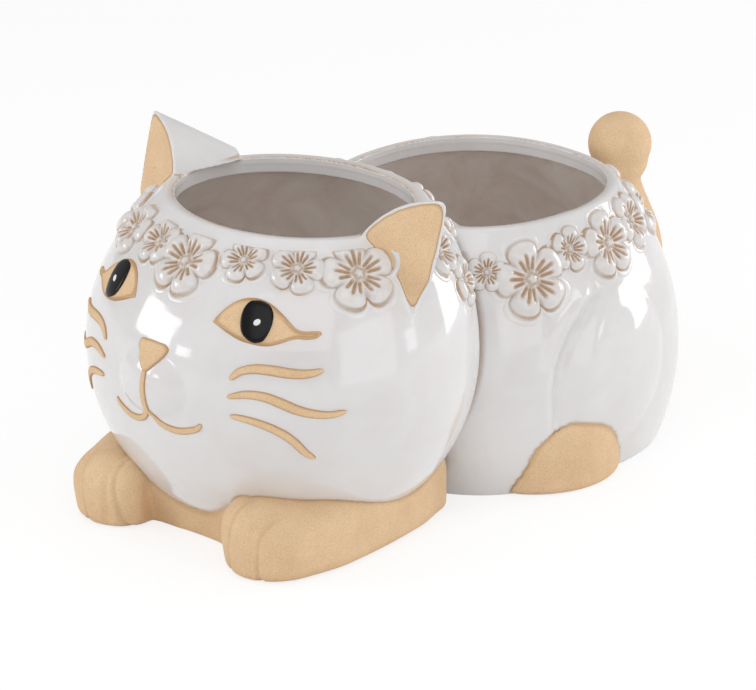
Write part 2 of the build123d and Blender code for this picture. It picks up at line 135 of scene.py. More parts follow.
pupil_corners = (
    (-3.9, 7.0), (-0.8, 7.1), (3.0, 5.5), (5.4, 2.0), (6.0, -2.5), (4.9, -6.3), (1.8, -7.0), (-2.2, -4.8),
    (-4.5, -1.4), (-5.6, 2.7), (-5.3, 5.6),
)
# Painted highlight: the glint on each pupil is a white dot, with its place and size given here
glint_offset = (1.0 * MM, -0.1 * MM)
glint_radius = 1.2 * MM
nose_half_width = 8.2 * MM
nose_base = 78.5 * MM
nose_height = 11.0 * MM
nose_corners = (
    (-0.97, 0.5), (-0.86, 0.88), (-0.4, 0.96), (0.4, 0.96), (0.86, 0.88), (0.97, 0.5), (0.22, -0.62),
    (-0.22, -0.62),
)
mouth_half_width = 23.0 * MM
mouth_lean = 2.0 * MM
mouth_dip = 4.8 * MM
mouth_z = 60.5 * MM
mouth_stroke = 3.0 * MM
whisker_strokes = (4.0 * MM, 4.0 * MM, 3.5 * MM)
whisker_lines = (
    (
        (33, 80.8), (36.3, 84.4), (41, 85.9), (46.6, 85.8), (52, 85), (56, 84.7), (59, 85.1), (61.7, 86.1),
    ),
    (
        (32.4, 73.8), (38, 75.5), (42.3, 75.8), (47, 75), (51.6, 72.9), (55.8, 70.6), (60.3, 68.9),
        (64.5, 68.3), (68.4, 69.5),
    ),
    (
        (33.5, 66.4), (38.3, 65.8), (43.2, 64.6), (47.7, 62.7), (51.8, 59.9), (54.6, 56.4), (56.6, 52.3),
        (58.9, 49.2),
    ),
)

# Corners of the left ear's clay face
ear_crown = Vector((0.634 * head_half_width, head_axis.y - 0.108 * head_half_depth, 1.012 * head_rim))
ear_tip = Vector((0.965 * head_half_width, head_axis.y + 0.123 * head_half_depth, 1.136 * head_rim))
ear_cheek = Vector((0.927 * head_half_width, head_axis.y - 0.061 * head_half_depth, 0.775 * head_rim))


# Mesh helpers


def linked(name, data):
    """An object that holds a mesh, a lamp or a camera, in the scene."""
    made = bpy.data.objects.new(name, data)
    bpy.context.scene.collection.objects.link(made)
    return made


def grid_mesh(name, points, wrap=False, attributes=None):
    """A smooth mesh over a grid of points, with one value of each named attribute per point."""
    rows, columns = points.shape[:2]
    mesh = bpy.data.meshes.new(name)
    last = columns if wrap else columns - 1
    faces = []
    for row in range(0, (rows - 1) * columns, columns):
        above = row + columns
        for c in range(last):
            following = (c + 1) % columns
            faces.append((row + c, row + following, above + following, above + c))
    mesh.from_pydata(points.reshape(-1, 3).tolist(), [], faces)
    mesh.polygons.foreach_set("use_smooth", [True] * len(mesh.polygons))
    for key, values in (attributes or {}).items():
        layer = mesh.attributes.new(key, "FLOAT", "POINT")
        layer.data.foreach_set("value", np.asarray(values, float).reshape(-1))
    mesh.update()
    return mesh


def joined(meshes, name):
    """One mesh that holds several, with their attributes."""
    made = [linked(name, mesh) for mesh in meshes]
    bpy.ops.object.select_all(action="DESELECT")
    for piece in made:
        piece.select_set(True)
    bpy.context.view_layer.objects.active = made[0]
    if len(made) > 1:
        bpy.ops.object.join()
    made[0].name = name
    return made[0]


def smooth_line(points, count):
    """Evenly stepped points along a smooth curve through a few given ones."""
    given = np.array(points, float)
    given = np.vstack((2 * given[0] - given[1], given, 2 * given[-1] - given[-2]))
    spans = len(points) - 1
    made = []
    for place in np.linspace(0, spans, count):
        span = min(int(place), spans - 1)
        s = place - span
        a, b, c, d = given[span:span + 4]
        curve = (2 * a - 5 * b + 4 * c - d) * s**2 + (3 * b - a - 3 * c + d) * s**3
        made.append(b + ((c - a) * s + curve) / 2)
    return np.array(made)


def smooth_step(low, high, value):
    """0 below low, 1 above high and an even turn between."""
    share = np.clip((value - low) / (high - low), 0, 1)
    return share * share * (3 - 2 * share)


def tree_of(mesh):
    """A search tree over a mesh."""
    corners = [vertex.co.copy() for vertex in mesh.vertices]
    return BVHTree.FromPolygons(corners, [tuple(face.vertices) for face in mesh.polygons])


def fused_skin(name, sources, voxel, smooth_rounds, *more):
    """A copy of CAD nodes fused into one skin of even quads, with its creases softened."""
    meshes = [nodes[n].data.copy() for n in sources] + list(more)
    piece = joined(meshes, name)
    piece.data.materials.clear()
    remesh = piece.modifiers.new("remesh", "REMESH")
    remesh.mode = "VOXEL"
    remesh.voxel_size = voxel
    remesh.use_smooth_shade = True
    soften = piece.modifiers.new("soften", "SMOOTH")
    soften.factor = 0.5
    soften.iterations = smooth_rounds
    bpy.context.view_layer.update()
    evaluated = piece.evaluated_get(bpy.context.evaluated_depsgraph_get())
    mesh = bpy.data.meshes.new_from_object(evaluated)
    piece.modifiers.clear()
    old = piece.data
    piece.data = mesh
    bpy.data.meshes.remove(old)
    return piece


def closed(mesh):
    """Close a tube-like mesh at both ends and turn its faces outwards."""
    work = bmesh.new()
    work.from_mesh(mesh)
    bmesh.ops.holes_fill(work, edges=work.edges)
    bmesh.ops.recalc_face_normals(work, faces=work.faces)
    work.to_mesh(mesh)
    work.free()
    return mesh


def points_of(mesh):
    """A mesh's points and normals as arrays."""
    points = np.zeros(len(mesh.vertices) * 3)
    mesh.vertices.foreach_get("co", points)
    normals = np.zeros(len(mesh.vertices) * 3)
    mesh.vertex_normals.foreach_get("vector", normals)
    return points.reshape(-1, 3), normals.reshape(-1, 3)


def set_points(mesh, points):
    """Put a mesh's points in new places."""
    mesh.vertices.foreach_set("co", points.reshape(-1))
    mesh.update()


def give(mesh, key, values):
    """Store one value per point under a name."""
    layer = mesh.attributes.new(key, "FLOAT", "POINT")
    layer.data.foreach_set("value", np.asarray(values, float))


# Materials


def colour(mix):
    return (*mix, 1.0)


class Nodes:
    """Short calls for building a material's nodes."""

    def __init__(self, name):
        self.material = bpy.data.materials.new(name)
        self.material.use_nodes = True
        self.tree = self.material.node_tree
        self.tree.nodes.clear()
        self.output = self.add("ShaderNodeOutputMaterial")
        self.place = self.add("ShaderNodeTexCoord").outputs["Object"]

    def add(self, kind, **settings):
        made = self.tree.nodes.new(kind)
        for key, value in settings.items():
            setattr(made, key, value)
        return made

    def join(self, source, target):
        self.tree.links.new(source, target)

    def noise(self, scale, detail=3.0, rough=0.5, distortion=0.0):
        made = self.add("ShaderNodeTexNoise")
        made.inputs["Scale"].default_value = scale
        made.inputs["Detail"].default_value = detail
        made.inputs["Roughness"].default_value = rough
        made.inputs["Distortion"].default_value = distortion
        self.join(self.place, made.inputs["Vector"])
        return made.outputs["Fac"]

    def attribute(self, name):
        return self.add("ShaderNodeAttribute", attribute_name=name).outputs["Fac"]

    def ramp(self, source, stops):
        made = self.add("ShaderNodeValToRGB")
        elements = made.color_ramp.elements
        for step, (place, value) in enumerate(stops):
            stop = elements[step] if step < 2 else elements.new(place)
            stop.position = place
            stop.color = colour(value) if isinstance(value, tuple) else (value, value, value, 1)
        self.join(source, made.inputs["Fac"])
        return made.outputs["Color"]

    def mix(self, share, first, second):
        made = self.add("ShaderNodeMix", data_type="RGBA")
        for value, key in ((share, 0), (first, 6), (second, 7)):
            if hasattr(value, "links"):
                self.join(value, made.inputs[key])
            elif key == 0:
                made.inputs[key].default_value = value
            else:
                made.inputs[key].default_value = colour(value)
        return made.outputs[2]

    def maths(self, operation, first, second=None, clamp=False):
        made = self.add("ShaderNodeMath", operation=operation, use_clamp=clamp)
        for step, value in enumerate((first, second)):
            if value is None:
                continue
            if hasattr(value, "links"):
                self.join(value, made.inputs[step])
            else:
                made.inputs[step].default_value = value
        return made.outputs[0]

    def shader(self, base, rough, bump=None, bump_distance=0.0002, bump_strength=0.5, **sockets):
        made = self.add("ShaderNodeBsdfPrincipled")
        for value, key in ((base, "Base Color"), (rough, "Roughness")):
            if hasattr(value, "links"):
                self.join(value, made.inputs[key])
            else:
                made.inputs[key].default_value = colour(value) if isinstance(value, tuple) else value
        for key, value in sockets.items():
            made.inputs[key.replace("_", " ")].default_value = value
        if bump is not None:
            bumped = self.add("ShaderNodeBump")
            bumped.inputs["Distance"].default_value = bump_distance
            bumped.inputs["Strength"].default_value = bump_strength
            self.join(bump, bumped.inputs["Height"])
            self.join(bumped.outputs["Normal"], made.inputs["Normal"])
        self.join(made.outputs["BSDF"], self.output.inputs["Surface"])
        return made


tan = (0.46, 0.27, 0.12)


def glaze_material():
    """White pearly glaze that thins to tan on edges and in grooves, and greyer inside the pot. The tan is also
    painted shade, deeper in the flowers' petal grooves and on the rump beside the gap between the pots.
    """
    n = Nodes("white_glaze")
    cloud = n.noise(22, 4, 0.55, 0.6)
    whites = ((0.25, (0.73, 0.705, 0.70)), (0.5, (0.79, 0.775, 0.772)), (0.75, (0.82, 0.81, 0.808)))
    white = n.ramp(cloud, whites)
    blush = n.ramp(n.noise(38, 3, 0.5, 1.0), ((0.5, 0.0), (0.72, 0.5)))
    white = n.mix(blush, white, (0.76, 0.715, 0.70))
    patch = n.noise(520, 3, 0.6)
    # The tan attribute carries thin glaze and also painted shade, such as the darkening beside the gap between
    # the pots
    thin_glaze_and_shade = n.maths("MULTIPLY", n.attribute("tan"), n.ramp(patch, ((0.25, 0.7), (0.62, 1.0))))
    body = n.mix(n.maths("MINIMUM", thin_glaze_and_shade, 0.92), white, tan)
    grey = n.ramp(n.noise(45, 5, 0.6, 0.8), ((0.35, (0.78, 0.68, 0.62)), (0.68, (0.90, 0.85, 0.80))))
    inside = n.ramp(n.attribute("inside"), ((0.42, 0.0), (0.58, 1.0)))
    body = n.mix(inside, body, grey)
    rough = n.maths("ADD", n.maths("MULTIPLY", inside, 0.3), 0.1)
    n.shader(body, rough, n.noise(95, 2, 0.4), 0.0003, 0.25, Coat_Weight=0.3, Coat_Roughness=0.06)
    return n.material


def clay_material():
    """Bare tan stoneware: fine speckle, faint clouding and a fine grain. The tan attribute darkens it to brown,
    as real lines round the face marks and ears, and as painted shade in the toe grooves, under the head and
    where the hind feet meet the rump.
    """
    n = Nodes("bare_clay")
    cloud = n.ramp(n.noise(60, 4, 0.6), ((0.3, 0.0), (0.7, 1.0)))
    base = n.mix(cloud, (0.77, 0.53, 0.31), (0.85, 0.61, 0.375))
    speckle = n.ramp(n.noise(2600, 2, 0.7), ((0.36, 0.82), (0.5, 1.0), (0.68, 1.08)))
    tinted = n.add("ShaderNodeMix", data_type="RGBA", blend_type="MULTIPLY")
    tinted.inputs[0].default_value = 1.0
    n.join(base, tinted.inputs[6])
    n.join(speckle, tinted.inputs[7])
    # Darker brown from the tan attribute: real outlines, and painted shade in creases and where parts meet
    edge = n.mix(n.attribute("tan"), tinted.outputs[2], (0.42, 0.23, 0.09))
    n.shader(edge, 0.82, n.noise(900, 4, 0.6), 0.0003, 0.35)
    return n.material


def plain_material(name, base, rough, gloss=0.5):
    """An even colour with a faint mottle: enamel, rubber, and the white of the painted glints."""
    n = Nodes(name)
    darker = tuple(0.9 * part for part in base)
    mottled = n.mix(n.ramp(n.noise(300, 3), ((0.35, 0.0), (0.65, 1.0))), darker, base)
    n.shader(mottled, rough, n.noise(400, 2), 0.0001, 0.2, Specular_IOR_Level=gloss)
    return n.material


glaze = glaze_material()
clay = clay_material()
black = plain_material("black_enamel", (0.006, 0.006, 0.007), 0.2, 0.22)
# Painted highlight: the white of the pupils' glints, under the enamel slot's name
painted_glint_white = plain_material("white_enamel", (0.9, 0.9, 0.89), 0.2)
silicone = plain_material("silicone", (0.36, 0.35, 0.34), 0.55)
slot_material = {
    "white_glaze": glaze,
    "bare_clay": clay,
    "black_enamel": black,
    "white_enamel": painted_glint_white,
    "silicone": silicone,
}
for part in frame["record"]["subparts"]:
    node = nodes[part["node"]]
    node.data.materials.clear()
    node.data.materials.append(slot_material[part["material_slot"]])


def finished(piece, material, body, slot, *replaced):
    """Give a piece its material, the body that it rides on and the nodes that it stands for."""
    piece.data.materials.clear()
    piece.data.materials.append(material)
    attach(piece, body)
    if replaced:
        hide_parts(*replaced)
    return piece


# The glazed skins


def facing_out(points, normals, axis):
    """Each point's level heading away from an upright axis, and how far its normal faces that way."""
    out = points[:, :2] - np.array((axis.x, axis.y))
    out /= np.maximum(np.linalg.norm(out, axis=1), 1e-6)[:, None]
    return out, (out * normals[:, :2]).sum(1)


def inside_share(points, normals, axis, rim, band):
    """1 on a pot's inner wall and floor below its white band, 0 outside."""
    facing = facing_out(points, normals, axis)[1]
    inward = smooth_step(0.05, -0.25, facing)
    floor = (normals[:, 2] > 0.5) & (points[:, 2] < 12 * MM)
    below = smooth_step(rim - band, rim - band - 0.8 * MM, points[:, 2])
    return np.maximum(inward, floor) * below


def rim_tan(points, normals, axis, rim, noise_turns):
    """Where the glaze thins on the inner edge of a rim's crest, more on some stretches than on others."""
    out, facing = facing_out(points, normals, axis)
    bearing = np.arctan2(out[:, 0], -out[:, 1])
    line = np.exp(-(((facing + 0.4) / 0.3) ** 2)) * (np.abs(points[:, 2] - rim) < 1.8 * MM)
    patchy = 0.75 + 0.25 * np.sin(noise_turns * bearing + 1.3) * np.sin(2.3 * noise_turns * bearing)
    return line * patchy * smooth_step(0.7, 0.85, normals[:, 2])


def rolled_lip(mesh, axis, rim):
    """Thicken the inner side of a rim into a rolled lip that stands upright above a sharp lower edge."""
    points, normals = points_of(mesh)
    out = points[:, :2] - np.array((axis.x, axis.y))
    radius = np.maximum(np.linalg.norm(out, axis=1), 1e-6)
    facing = (out * normals[:, :2]).sum(1) / radius
    bearing = np.arctan2(out[:, 0], out[:, 1])
    near = (facing < -0.5) & (np.abs(points[:, 2] - rim + lip_below) < lip_window)
    order = np.argsort(bearing[near])
    lip_bearing = bearing[near][order]
    padded = np.pad(radius[near][order], lip_neighbours, mode="wrap")
    shares = np.ones(2 * lip_neighbours + 1) / (2 * lip_neighbours + 1)
    lip_radius = np.convolve(padded, shares, "valid")
    places = np.linspace(-pi, pi, 90, endpoint=False)
    edge = np.interp(places, lip_bearing, lip_radius, period=2 * pi)
    target = np.interp(bearing, places, edge, period=2 * pi)
    share = smooth_step(rim - lip_drop - 0.4 * MM, rim - lip_drop + 0.5 * MM, points[:, 2])
    share *= smooth_step(-0.1, -0.5, facing) * (points[:, 2] < rim)
    grown = radius + np.minimum(target - radius, 0) * share
    points[:, :2] = np.array((axis.x, axis.y)) + out * (grown / radius)[:, None]
    set_points(mesh, points)


voxel = 0.7 * MM

# The rolled lip: its height, where below the rim its radius is read, and how many points each side are
# averaged
lip_drop = 6.8 * MM
lip_below = 1.9 * MM
lip_window = 1.1 * MM
lip_neighbours = 10
band_drop = lip_drop - 0.2 * MM
ear_widening = 2.2 * MM

head_skin = fused_skin("head_skin", ("head_bowl", "left_ear", "right_ear"), voxel, 8)
rolled_lip(head_skin.data, head_axis, head_rim)
head_points = points_of(head_skin.data)[0]
wide = smooth_step(64 * MM, 76 * MM, np.abs(head_points[:, 0]))
wide *= smooth_step(104 * MM, 116 * MM, head_points[:, 2])
head_points[:, 0] += np.sign(head_points[:, 0]) * ear_widening * wide
head_points[:, 0] = np.clip(head_points[:, 0], cad_low[0], cad_high[0])
set_points(head_skin.data, head_points)
head_points, normals = points_of(head_skin.data)
give(head_skin.data, "inside", inside_share(head_points, normals, head_axis, head_rim, band_drop))
head_tan = 1.4 * rim_tan(head_points, normals, head_axis, head_rim, 3)
finished(head_skin, glaze, "front_pot", "white_glaze", "head_bowl", "left_ear", "right_ear")
head_tree = tree_of(head_skin.data)

# Rump, with the crease that sets the haunch off from the flank: its y at heights z, and how deep it is
crease_z = np.array((33, 44, 54, 60, 67, 74, 79)) * MM
crease_y = np.array((13.5, 12.8, 14.7, 17.7, 22.7, 30.1, 36.5)) * MM
crease_depth = 1.4 * MM
flank_swell = 1.1 * MM
haunch_swell = 1.0 * MM
rump_skin = fused_skin("rump_skin", ("rump_bowl",), voxel, 14)
rolled_lip(rump_skin.data, rump_axis, rump_rim)
points, normals = points_of(rump_skin.data)
behind = points[:, 1] - np.interp(points[:, 2], crease_z, crease_y)
fade = smooth_step(20 * MM, 36 * MM, points[:, 2]) * smooth_step(88 * MM, 72 * MM, points[:, 2])
fade *= smooth_step(52 * MM, 62 * MM, np.abs(points[:, 0])) * smooth_step(0.3, 0.7, np.abs(normals[:, 0]))
fade *= np.sign(points[:, 0]) * normals[:, 0] > 0
swell = flank_swell * np.exp(-(((behind + 6 * MM) / (3.4 * MM)) ** 2))
swell += haunch_swell * np.exp(-(((behind - 12 * MM) / (8 * MM)) ** 2))
swell -= crease_depth * np.exp(-((behind / (2.4 * MM)) ** 2))
set_points(rump_skin.data, points + normals * (fade * swell)[:, None])
rump_points, normals = points_of(rump_skin.data)
give(rump_skin.data, "inside", inside_share(rump_points, normals, rump_axis, rump_rim, band_drop))
rump_tan_and_shade = rim_tan(rump_points, normals, rump_axis, rump_rim, 4)

# Painted shade: tan darkening on the rump beside the gap between the pots, where the head sits close
beside = (rump_points[:, 1] < 15 * MM) & (np.abs(rump_points[:, 0]) > 40 * MM)
beside &= rump_points[:, 2] < rump_rim - 8 * MM
for step in np.nonzero(beside)[0]:
    found = head_tree.find_nearest(rump_points[step].tolist(), 5 * MM)
    if found[0] is not None:
        rump_tan_and_shade[step] = max(rump_tan_and_shade[step], 0.42 * smooth_step(4.5 * MM, 2.0 * MM, found[3]))
finished(rump_skin, glaze, "rear_pot", "white_glaze", "rump_bowl")
rump_tree = tree_of(rump_skin.data)


def clay_line(tree, points, reach):
    """How near each point of a glazed skin is to bare clay, 1 on its edge: the glaze's brown lower line."""
    made = np.zeros(len(points))
    for step in np.nonzero(points[:, 2] < reach)[0]:
        found = tree.find_nearest(points[step].tolist(), 3 * MM)
        if found[0] is not None:
            made[step] = np.exp(-((found[3] / (0.8 * MM)) ** 2))
    return made


# Clay faces of the ears: found on the skin by walking outwards from the middle until the face ends


ear_margin = 0.7 * MM
ear_stride = 0.4 * MM
ear_flatness = 1.6 * MM


def ear_face(side):
    """The flat clay face inside an ear's glazed edge, with its outline smoothed."""
    mirror = Vector((side, 1, 1))
    crown, tip, cheek = (v * mirror for v in (ear_crown, ear_tip, ear_cheek))
    middle = crown * 0.3 + tip * 0.36 + cheek * 0.34
    normal = (tip - cheek).cross(crown - cheek).normalized()
    if normal.y > 0:
        normal = -normal
    first = (tip - middle).normalized()
    second = normal.cross(first)
    count = 96
    reach = np.zeros(count)
    for turn in range(count):
        angle = 2 * pi * turn / count
        heading = first * cos(angle) + second * sin(angle)
        for step in range(4, 120):
            place = middle + heading * (step * ear_stride)
            found, facing = head_tree.ray_cast(place + normal * 0.02, -normal, 0.03)[:2]
            if found is None or abs((found - middle).dot(normal)) > ear_flatness or facing.dot(normal) < 0.8:
                break
            reach[turn] = step * ear_stride
    reach -= ear_margin
    for _ in range(2):
        reach = (np.roll(reach, 1) + 2 * reach + np.roll(reach, -1)) / 4
    shares = np.append(np.linspace(0.02, 1, 16), 1.02)
    points = np.zeros((len(shares), count, 3))
    for i, share in enumerate(shares):
        for turn in range(count):
            angle = 2 * pi * turn / count
            place = middle + (first * cos(angle) + second * sin(angle)) * (reach[turn] * share)
            found = head_tree.ray_cast(place + normal * 0.02, -normal, 0.03)[0] or place
            lift = 0.22 * MM if share < 1 else (0.1 * MM if share == 1 else -0.3 * MM)
            points[i, turn] = found + normal * lift
    edge = np.broadcast_to(smooth_step(0.93, 1.0, shares)[:, None], points.shape[:2])
    return grid_mesh("ear_face", points, wrap=True, attributes={"tan": 0.7 * edge})


for side, name in ((1, "left"), (-1, "right")):
    finished(joined([ear_face(side)], f"{name}_ear_face"), clay, "front_pot", "bare_clay")

# Bare clay base: chest and forelegs as one soft piece, with two soft grooves over each paw

paw_front_y = head_axis.y - 69 * MM
paw_turns = {1: 4.0 * MM, -1: 8.5 * MM}
paw_slope = 4.0 * MM
paw_puff = 1.2 * MM
heel_draw = 6.0 * MM
toe_lines = {1: (39 * MM, 54 * MM), -1: (29 * MM, 45 * MM)}
toe_groove = 1.0 * MM
toe_width = 1.1 * MM
toe_slant = 2.5 * MM
chest_low_reach = 46.5 * MM
chest_high_reach = 64.5 * MM
chest_back = head_axis.y - 30 * MM
chest_end = 30 * MM
chest_overlap = 3.8 * MM


def chest_mesh():
    """A round-fronted block between the paws whose top runs just inside the head's underside."""
    rows = []
    for x in np.linspace(-chest_end, chest_end, 31):
        low = head_axis.y - chest_low_reach - 0.05 * abs(x)
        high = head_axis.y - sqrt(chest_high_reach**2 - x**2)
        runs = np.linspace(high, chest_back, 22)
        tops = []
        for y in runs:
            above = head_tree.ray_cast(Vector((x, y, 1 * MM)), Vector((0, 0, 1)), 60 * MM)[0]
            tops.append((above.z if above else 30 * MM) + chest_overlap)
        shares = np.linspace(0, 1, 14)[:-1]
        face = [(x, low + (high - low) * share**1.5, tops[0] * share) for share in shares]
        rows.append([(x, chest_back, 0)] + face + [(x, y, z) for y, z in zip(runs, tops)])
    return closed(grid_mesh("chest_block", np.array(rows), wrap=True))


base_skin = fused_skin("base_skin", ("left_foreleg", "right_foreleg"), voxel * 1.2, 26, chest_mesh())
points, normals = points_of(base_skin.data)
forward = smooth_step(paw_front_y + 42 * MM, paw_front_y + 8 * MM, points[:, 1])
aside = np.abs(points[:, 0])
points[:, 1] -= heel_draw * smooth_step(head_axis.y + 18 * MM, head_axis.y + 44 * MM, points[:, 1])
slope = smooth_step(46 * MM, 64 * MM, aside) * smooth_step(10 * MM, 28 * MM, points[:, 2])
points[:, 2] -= paw_slope * forward * slope
paw_turn = np.where(points[:, 0] > 0, paw_turns[1], paw_turns[-1])
points[:, 0] -= np.sign(points[:, 0]) * paw_turn * forward * smooth_step(10 * MM, 34 * MM, aside)
puff = forward * smooth_step(3 * MM, 14 * MM, points[:, 2])
puff *= smooth_step(0.1, -0.6, normals[:, 1] - 0.5 * normals[:, 2])
puff *= smooth_step(12 * MM, 24 * MM, np.abs(points[:, 0]))
points += normals * (paw_puff * puff)[:, None]
points[:, 1] = np.maximum(points[:, 1], cad_low[1] + 0.1 * MM)
points[:, 2] = np.maximum(points[:, 2], 0)
dent = np.zeros(len(points))
for side, lines in toe_lines.items():
    for groove_x in lines:
        off = points[:, 0] * side - groove_x + toe_slant * smooth_step(28 * MM, 0, points[:, 2])
        reach = smooth_step(paw_front_y + 17 * MM, paw_front_y + 7 * MM, points[:, 1])
        dent += np.exp(-((off / toe_width) ** 2)) * reach
under = np.array([head_tree.find_nearest(p)[3] for p in points.tolist()])
sunk = smooth_step(1.6 * MM, 0.5 * MM, under) * smooth_step(14 * MM, 20 * MM, points[:, 2])
toward = np.array((0, head_axis.y, 70 * MM)) - points
toward /= np.linalg.norm(toward, axis=1)[:, None]
moved = points - normals * (toe_groove * dent)[:, None] + toward * (1.0 * MM * sunk)[:, None]
moved[:, 2] = np.maximum(moved[:, 2], 0)
set_points(base_skin.data, moved)
# Painted shade: the clay darkens to brown in the toe grooves and where the base meets the head's underside
give(base_skin.data, "tan", 0.2 * np.clip(dent, 0, 1) + 0.35 * smooth_step(1.6 * MM, 0.3 * MM, under))
finished(base_skin, clay, "front_pot", "bare_clay", "chest", "left_foreleg", "right_foreleg")
base_line = 0.8 * clay_line(tree_of(base_skin.data), head_points, 55 * MM)
give(head_skin.data, "tan", np.maximum(np.minimum(head_tan, 1), base_line))

# Hind feet: soft mounds of bare clay, drawn out a little to the rear

foot_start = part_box("left_hind_foot")[0].y
foot_stretch = 1.08
foot_growth = 1.05
for name in ("left", "right"):
    foot = fused_skin(f"{name}_foot_skin", (f"{name}_hind_foot",), voxel, 12)
    points = points_of(foot.data)[0]
    points[:, 1] = foot_start + (points[:, 1] - foot_start) * foot_stretch
    points[:, 2] *= foot_growth
    set_points(foot.data, points)
    finished(foot, clay, "rear_pot", "bare_clay", f"{name}_hind_foot")
    rump_tan_and_shade = np.maximum(rump_tan_and_shade, 0.8 * clay_line(tree_of(foot.data), rump_points, 36 * MM))
    # Painted shade: the foot's clay darkens to brown where it meets the rump
    under = np.array([rump_tree.find_nearest(p)[3] for p in points.tolist()])
    give(foot.data, "tan", 0.35 * smooth_step(1.4 * MM, 0.3 * MM, under))
give(rump_skin.data, "tan", rump_tan_and_shade)

# Tail: its round tip hangs forward in a soft drop, on a neck that swells into it


def drop_mesh(middle, half_sizes):
    """An oval lump."""
    turns = np.linspace(0, 2 * pi, 40, endpoint=False)
    rises = np.linspace(0.02, pi - 0.02, 24)
    rise, turn = np.meshgrid(rises, turns, indexing="ij")
    unit = np.stack((np.sin(rise) * np.cos(turn), np.sin(rise) * np.sin(turn), np.cos(rise)), 2)
    return closed(grid_mesh("lump", np.array(middle) + unit * np.array(half_sizes), wrap=True))


tail_low, tail_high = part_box("tail")
tip_radius = tail_high.x
tip_aside = 1.8 * MM
tip_drop = 1.0 * MM
lump_middle = Vector((0, tail_low.y + tip_radius + 0.5 * MM, tail_high.z - tip_radius - 6.0 * MM))
lump_sizes = np.array((0.86, 0.9, 0.98)) * tip_radius
tail_lump = drop_mesh(lump_middle, lump_sizes)
tail = fused_skin("tail_skin", ("tail",), voxel, 16, tail_lump)
points = points_of(tail.data)[0]
upper = smooth_step(70 * MM, 98 * MM, points[:, 2])
points[:, 0] += tip_aside * upper
points[:, 2] -= tip_drop * upper
set_points(tail.data, points)
give(tail.data, "tan", np.zeros(len(tail.data.vertices)))
finished(tail, clay, "rear_pot", "bare_clay", "tail")

# Flowers: an outer halo of glaze, given as its rings' widths and lifts, lets each one grow out of the bowl

petal_count = 5
petal_turn = 2 * pi / petal_count
petal_notch = 0.56
flower_rise = 3.3 * MM
rings = 22
spokes = 150
halo = ((0.03, 0.1 * MM), (0.1, 0.38 * MM), (0.19, 0.22 * MM), (0.27, -0.4 * MM))
over_rim = 0.6 * MM
tucked = -0.5 * MM


def petal_form(t, turn):
    """A flower's outline share, height share and tan, for arrays of ring shares t and turns."""
    nearest = (turn + petal_turn / 2) % petal_turn - petal_turn / 2
    across = np.abs(nearest) / (petal_turn / 2)
    outline = petal_notch + (1 - petal_notch) * np.sqrt(np.clip(1 - across**3, 0, 1))
    reach = t * outline
    bulb = smooth_step(0.12, 0.72, reach)
    fall = np.sqrt(np.clip(1 - np.clip((t - 0.55) / 0.45, 0, 1) ** 2.2, 0, 1))
    valley = 1 - smooth_step(0.2, 0.5, reach) * (1 - np.sqrt(np.clip(1 - across**2.6, 0, 1)))
    height = (0.2 + 0.8 * bulb) * fall * valley
    groove = np.zeros(np.broadcast(t, turn).shape)
    for aside, end in ((-0.56, 0.58), (0, 0.66), (0.56, 0.58)):
        off = reach * np.abs(nearest - aside * petal_turn / 2)
        window = smooth_step(0.19, 0.25, reach) * smooth_step(end + 0.04, end - 0.05, reach)
        groove = np.maximum(groove, np.exp(-((off / 0.042) ** 2)) * window)
    height = height - 0.32 * groove
    button = np.sqrt(np.clip(1 - (reach / 0.13) ** 2, 0, 1))
    height = np.maximum(height, 0.62 * button)
    edge = smooth_step(0.93, 0.975, t) * (0.65 + 0.35 * np.sin(3 * turn + 1))
    ring = smooth_step(0.08, 0.12, reach) * smooth_step(0.19, 0.14, reach)
    between = smooth_step(0.8, 1.0, across) * smooth_step(0.45, 0.6, reach) * 0.5
    # The petal grooves' tan is glaze break and also painted shade, made darker to stand in for the shade in the
    # grooves
    stain = np.maximum.reduce([np.clip(1.7 * groove, 0, 1), 0.9 * edge, 0.8 * ring, between])
    stain = np.maximum(stain, 0.09 * smooth_step(1.0, 0.85, t))
    return outline, height, stain


